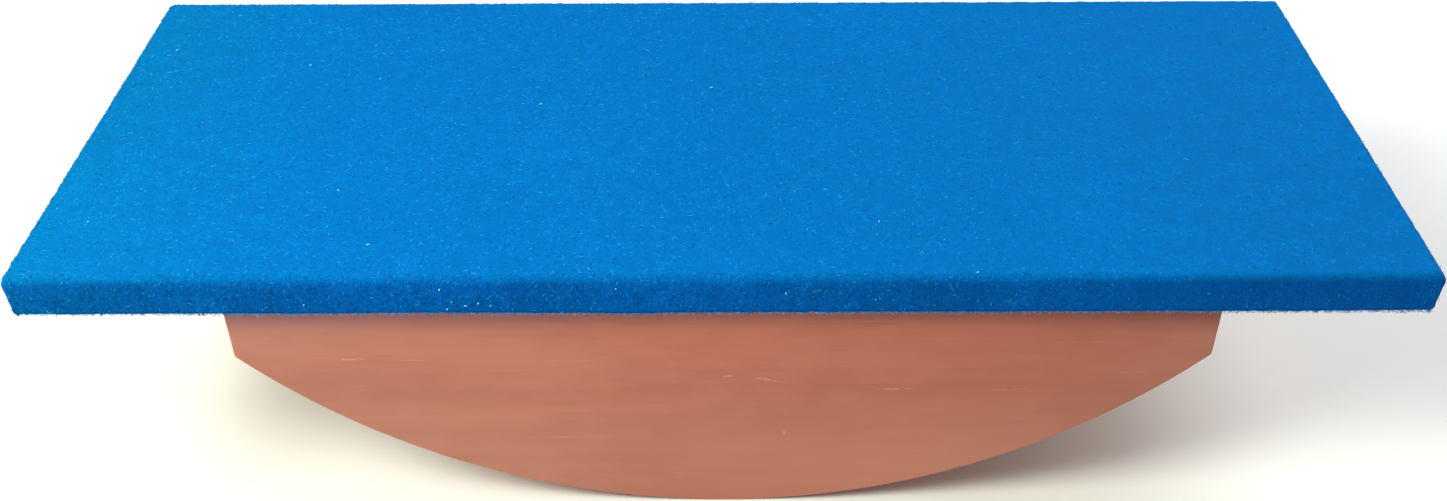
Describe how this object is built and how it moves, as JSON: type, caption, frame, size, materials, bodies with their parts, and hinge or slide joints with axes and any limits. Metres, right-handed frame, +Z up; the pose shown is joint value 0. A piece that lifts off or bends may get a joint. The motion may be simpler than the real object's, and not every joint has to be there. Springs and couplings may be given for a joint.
{
  "type": "balance board",
  "caption": "Rectangular felt-covered plywood deck standing on two hardwood rockers with circular lower edges, tied by rails beneath.",
  "frame": {"origin": "on the floor, under the middle of the deck, where the rockers' lowest lines stand", "axes": "+X along the deck, the way the board rocks; +Y from the front rocker to the rear rocker; +Z up"},
  "size_m": [0.6, 0.243, 0.1375],
  "materials": {
    "felt": "needle-punched felt carpet, blue, matt and fuzzy",
    "plywood": "sanded birch-faced plywood, uncoated",
    "rocker_wood": "pinkish-brown hardwood, planed, thin satin lacquer",
    "rail_wood": "same hardwood as the rockers, planed",
    "dowel_beech": "plain beech dowel",
    "screw_steel": "yellow-passivated zinc-plated steel"
  },
  "bodies": {
    "root": {"carpet_cover": "felt", "cross_rail_left": "rail_wood", "cross_rail_right": "rail_wood", "deck_board": "plywood", "dowel_left_front_lower": "dowel_beech", "dowel_left_front_upper": "dowel_beech", "dowel_left_rear_lower": "dowel_beech", "dowel_left_rear_upper": "dowel_beech", "dowel_right_front_lower": "dowel_beech", "dowel_right_front_upper": "dowel_beech", "dowel_right_rear_lower": "dowel_beech", "dowel_right_rear_upper": "dowel_beech", "rail_screw_left_1": "screw_steel", "rail_screw_left_2": "screw_steel", "rail_screw_right_1": "screw_steel", "rail_screw_right_2": "screw_steel", "rocker_front": "rocker_wood", "rocker_rear": "rocker_wood", "rocker_screw_front_1": "screw_steel", "rocker_screw_front_2": "screw_steel", "rocker_screw_front_3": "screw_steel", "rocker_screw_front_4": "screw_steel", "rocker_screw_front_5": "screw_steel", "rocker_screw_rear_1": "screw_steel", "rocker_screw_rear_2": "screw_steel", "rocker_screw_rear_3": "screw_steel", "rocker_screw_rear_4": "screw_steel", "rocker_screw_rear_5": "screw_steel"}
  },
  "joints": []
}
